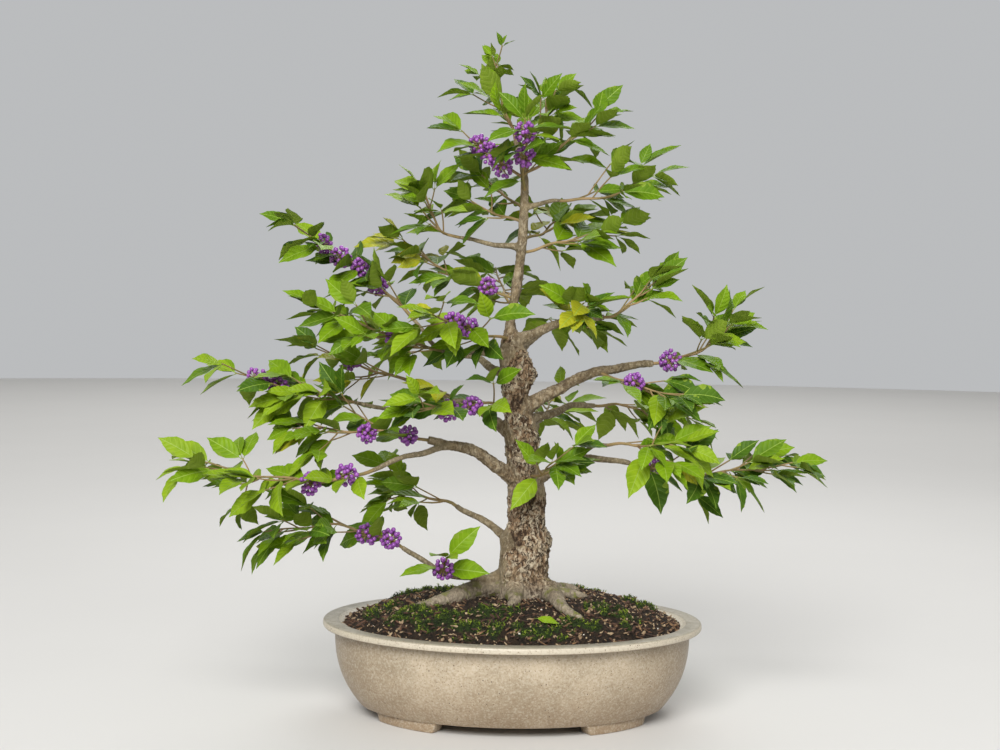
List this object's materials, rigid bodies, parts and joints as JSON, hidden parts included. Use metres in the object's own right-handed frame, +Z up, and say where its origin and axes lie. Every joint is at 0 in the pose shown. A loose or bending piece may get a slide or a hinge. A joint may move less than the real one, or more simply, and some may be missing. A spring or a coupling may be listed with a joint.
{
  "type": "beautyberry bonsai",
  "caption": "Upright beautyberry bonsai with layered open boughs, bright green leaves and clusters of purple berries, in an oval cream glazed pot with feet.",
  "frame": {"origin": "the middle of the whole tree's footprint, at the flat undersides of the pot's feet, on the floor", "axes": "+Z up; -Y towards the viewer of the tree's front; +X to that viewer's right, along the oval pot's long axis"},
  "size_m": [0.5614, 0.335, 0.5963],
  "materials": {
    "glazed_stoneware": "satin cream glaze with fine brown speckle",
    "soil": "loose dark bark fines and grit with moss",
    "bark": "rough furrowed tan bark",
    "foliage": "soft matte leaf with a slight sheen"
  },
  "bodies": {
    "root": {"bough_back_left": "bark", "bough_back_low": "bark", "bough_back_mid": "bark", "bough_back_right": "bark", "bough_left_crown": "bark", "bough_left_fork": "bark", "bough_left_inner": "bark", "bough_left_main": "bark", "bough_left_mid": "bark", "bough_left_shoot": "bark", "bough_left_up": "bark", "bough_low_back": "bark", "bough_low_left": "bark", "bough_right_crown": "bark", "bough_right_fork": "bark", "bough_right_low": "bark", "bough_right_main": "bark", "bough_right_up": "bark", "leaves_apex_back": "foliage", "leaves_apex_front": "foliage", "leaves_apex_left": "foliage", "leaves_apex_right": "foliage", "leaves_apex_side": "foliage", "leaves_back_crown": "foliage", "leaves_back_heart": "foliage", "leaves_back_high": "foliage", "leaves_back_left": "foliage", "leaves_back_low": "foliage", "leaves_back_mid": "foliage", "leaves_back_right": "foliage", "leaves_front_left": "foliage", "leaves_front_low": "foliage", "leaves_front_mid": "foliage", "leaves_leader": "foliage", "leaves_left_crown": "foliage", "leaves_left_fork": "foliage", "leaves_left_high": "foliage", "leaves_left_inner": "foliage", "leaves_left_main": "foliage", "leaves_left_mid": "foliage", "leaves_left_shoot": "foliage", "leaves_left_shoulder": "foliage", "leaves_left_up": "foliage", "leaves_low_back": "foliage", "leaves_low_inner": "foliage", "leaves_low_left": "foliage", "leaves_right_bend": "foliage", "leaves_right_crown": "foliage", "leaves_right_fork": "foliage", "leaves_right_inner": "foliage", "leaves_right_low": "foliage", "leaves_right_main": "foliage", "leaves_right_shoulder": "foliage", "leaves_right_up": "foliage", "pot": "glazed_stoneware", "soil": "soil", "trunk": "bark"}
  },
  "joints": []
}
